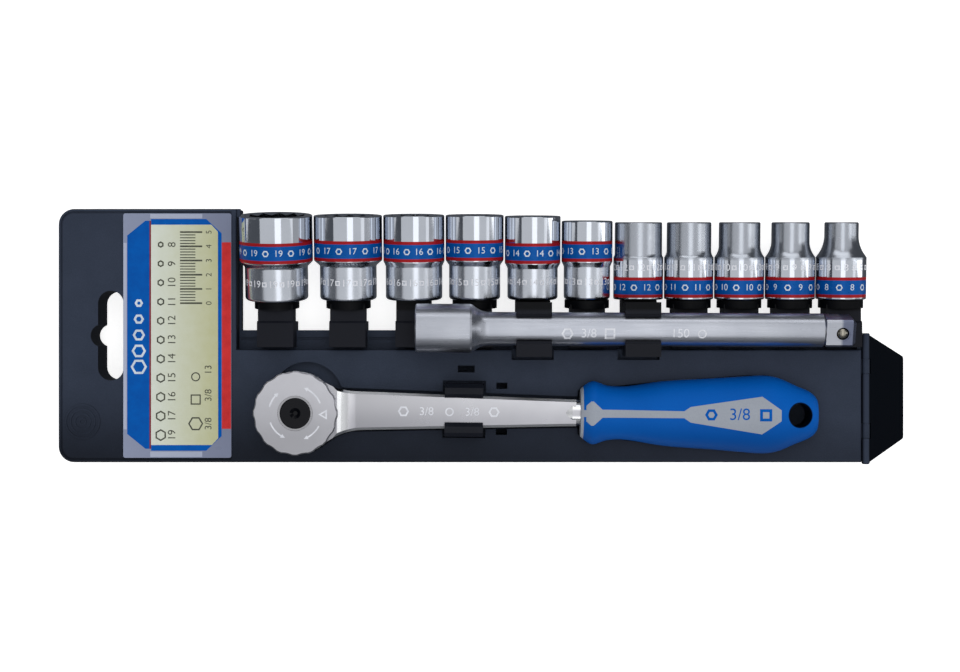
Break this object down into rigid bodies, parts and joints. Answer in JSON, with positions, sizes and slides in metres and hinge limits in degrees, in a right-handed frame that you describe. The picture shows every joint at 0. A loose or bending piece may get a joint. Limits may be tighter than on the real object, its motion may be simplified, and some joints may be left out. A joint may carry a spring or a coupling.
{
  "type": "socket wrench set on a hanging rack",
  "caption": "Hanging rack with a row of twelve-point sockets on posts, an extension bar held in clips and a reversible ratchet with a two-part handle.",
  "frame": {"origin": "under the middle of the whole set, in the plane of the rack's back", "axes": "+Z out of the rack's face, +X away from the hanging end, +Y from the ratchet towards the sockets"},
  "size_m": [0.3008, 0.09, 0.0364],
  "materials": {
    "tray_plastic": "moulded, fine grain",
    "flap_plastic": "moulded, smooth",
    "clip_plastic": "moulded, semi-gloss",
    "post_plastic": "moulded, smooth",
    "card": "printed, semi-gloss",
    "socket_chrome": "polished chrome with a painted band",
    "bar_satin": "satin chrome",
    "ratchet_chrome": "polished",
    "dial_satin": "satin nickel",
    "gear_steel": "ground",
    "ball_steel": "polished",
    "spring_steel": "drawn wire",
    "button_black": "black, satin",
    "core_grey": "moulded grey",
    "grip_blue": "soft moulded grip"
  },
  "bodies": {
    "rack": {"tray": "tray_plastic", "label_card": "card", "hinge_pin": "flap_plastic", "ratchet_clip": "clip_plastic", "post_19": "post_plastic", "post_17": "post_plastic", "post_16": "post_plastic", "post_15": "post_plastic", "post_14": "post_plastic", "post_13": "post_plastic", "post_12": "post_plastic", "post_11": "post_plastic", "post_10": "post_plastic", "post_09": "post_plastic", "post_08": "post_plastic", "bar_clip_14": "post_plastic", "bar_clip_12": "post_plastic"},
    "end_flap": {"end_flap": "flap_plastic"},
    "socket_19": {"socket_19": "socket_chrome"},
    "socket_17": {"socket_17": "socket_chrome"},
    "socket_16": {"socket_16": "socket_chrome"},
    "socket_15": {"socket_15": "socket_chrome"},
    "socket_14": {"socket_14": "socket_chrome"},
    "socket_13": {"socket_13": "socket_chrome"},
    "socket_12": {"socket_12": "socket_chrome"},
    "socket_11": {"socket_11": "socket_chrome"},
    "socket_10": {"socket_10": "socket_chrome"},
    "socket_09": {"socket_09": "socket_chrome"},
    "socket_08": {"socket_08": "socket_chrome"},
    "extension_bar": {"extension_bar": "bar_satin", "extension_ball_spring": "spring_steel"},
    "extension_ball": {"extension_ball": "ball_steel"},
    "ratchet": {"ratchet_body": "ratchet_chrome", "cover_plate": "gear_steel", "cover_circlip": "spring_steel", "pawl_ball": "ball_steel", "pawl_spring": "spring_steel", "handle_core": "core_grey", "handle_grip": "grip_blue"},
    "drive_gear": {"drive_gear": "gear_steel", "dial_ring": "spring_steel", "release_spring": "spring_steel"},
    "selector_dial": {"selector_dial": "dial_satin"},
    "pawl": {"pawl": "gear_steel"},
    "release_button": {"release_button": "button_black"},
    "drive_ball": {"drive_ball": "ball_steel"}
  },
  "joints": [
    {"name": "flap_hinge", "type": "hinge", "parent": "rack", "child": "end_flap", "pos_m": [0.13422, -0.0219, 0.0136], "axis": [0, -1, 0], "range_deg": [0, 90]},
    {"name": "socket_19_lift", "type": "slide", "parent": "rack", "child": "socket_19", "axis": [0, 0.9877, 0.1564], "range_m": [0, 0.035]},
    {"name": "socket_17_lift", "type": "slide", "parent": "rack", "child": "socket_17", "axis": [0, 0.9925, 0.1219], "range_m": [0, 0.035]},
    {"name": "socket_16_lift", "type": "slide", "parent": "rack", "child": "socket_16", "axis": [0, 0.9936, 0.1132], "range_m": [0, 0.035]},
    {"name": "socket_15_lift", "type": "slide", "parent": "rack", "child": "socket_15", "axis": [0, 0.9945, 0.1045], "range_m": [0, 0.035]},
    {"name": "socket_14_lift", "type": "slide", "parent": "rack", "child": "socket_14", "axis": [0, 0.9954, 0.0958], "range_m": [0, 0.035]},
    {"name": "socket_13_lift", "type": "slide", "parent": "rack", "child": "socket_13", "axis": [0, 0.9962, 0.0872], "range_m": [0, 0.035]},
    {"name": "socket_12_lift", "type": "slide", "parent": "rack", "child": "socket_12", "axis": [0, 0.9976, 0.0698], "range_m": [0, 0.035]},
    {"name": "socket_11_lift", "type": "slide", "parent": "rack", "child": "socket_11", "axis": [0, 0.9976, 0.0698], "range_m": [0, 0.035]},
    {"name": "socket_10_lift", "type": "slide", "parent": "rack", "child": "socket_10", "axis": [0, 0.9976, 0.0698], "range_m": [0, 0.035]},
    {"name": "socket_09_lift", "type": "slide", "parent": "rack", "child": "socket_09", "axis": [0, 0.9976, 0.0698], "range_m": [0, 0.035]},
    {"name": "socket_08_lift", "type": "slide", "parent": "rack", "child": "socket_08", "axis": [0, 0.9976, 0.0698], "range_m": [0, 0.035]},
    {"name": "extension_lift", "type": "slide", "parent": "rack", "child": "extension_bar", "axis": [0, 0, 1], "range_m": [0, 0.04], "deforming": ["bar_clip_14", "bar_clip_12"]},
    {"name": "extension_ball_press", "type": "slide", "parent": "extension_bar", "child": "extension_ball", "axis": [0.0013, 0.2756, -0.9613], "range_m": [0, 0.0007], "stiffness_N_per_m": 800, "deforming": ["extension_ball_spring"]},
    {"name": "ratchet_lift", "type": "slide", "parent": "rack", "child": "ratchet", "axis": [0, 0, 1], "range_m": [0, 0.045], "deforming": ["ratchet_clip"]},
    {"name": "drive_spin", "type": "hinge", "parent": "ratchet", "child": "drive_gear", "pos_m": [-0.06568, -0.0265, 0.0182], "axis": [0, 0, 1], "continuous": true},
    {"name": "dial_turn", "type": "hinge", "parent": "ratchet", "child": "selector_dial", "pos_m": [-0.06568, -0.0265, 0.0182], "axis": [0, 0, 1], "range_deg": [-20, 20]},
    {"name": "pawl_rock", "type": "hinge", "parent": "ratchet", "child": "pawl", "pos_m": [-0.05528, -0.02661, 0.0182], "axis": [0, 0, 1], "range_deg": [-8, 8]},
    {"name": "button_press", "type": "slide", "parent": "drive_gear", "child": "release_button", "axis": [0, 0, -1], "range_m": [0, 0.0025], "stiffness_N_per_m": 600, "deforming": ["release_spring"]},
    {"name": "drive_ball_retreat", "type": "slide", "parent": "drive_gear", "child": "drive_ball", "axis": [-0.9999, 0.0101, 0], "range_m": [0, 0.00075]}
  ],
  "couplings": [
    {"joint": "pawl_rock", "follows": "dial_turn", "ratio": 0.4},
    {"joint": "drive_ball_retreat", "follows": "button_press", "ratio": 0.3}
  ]
}
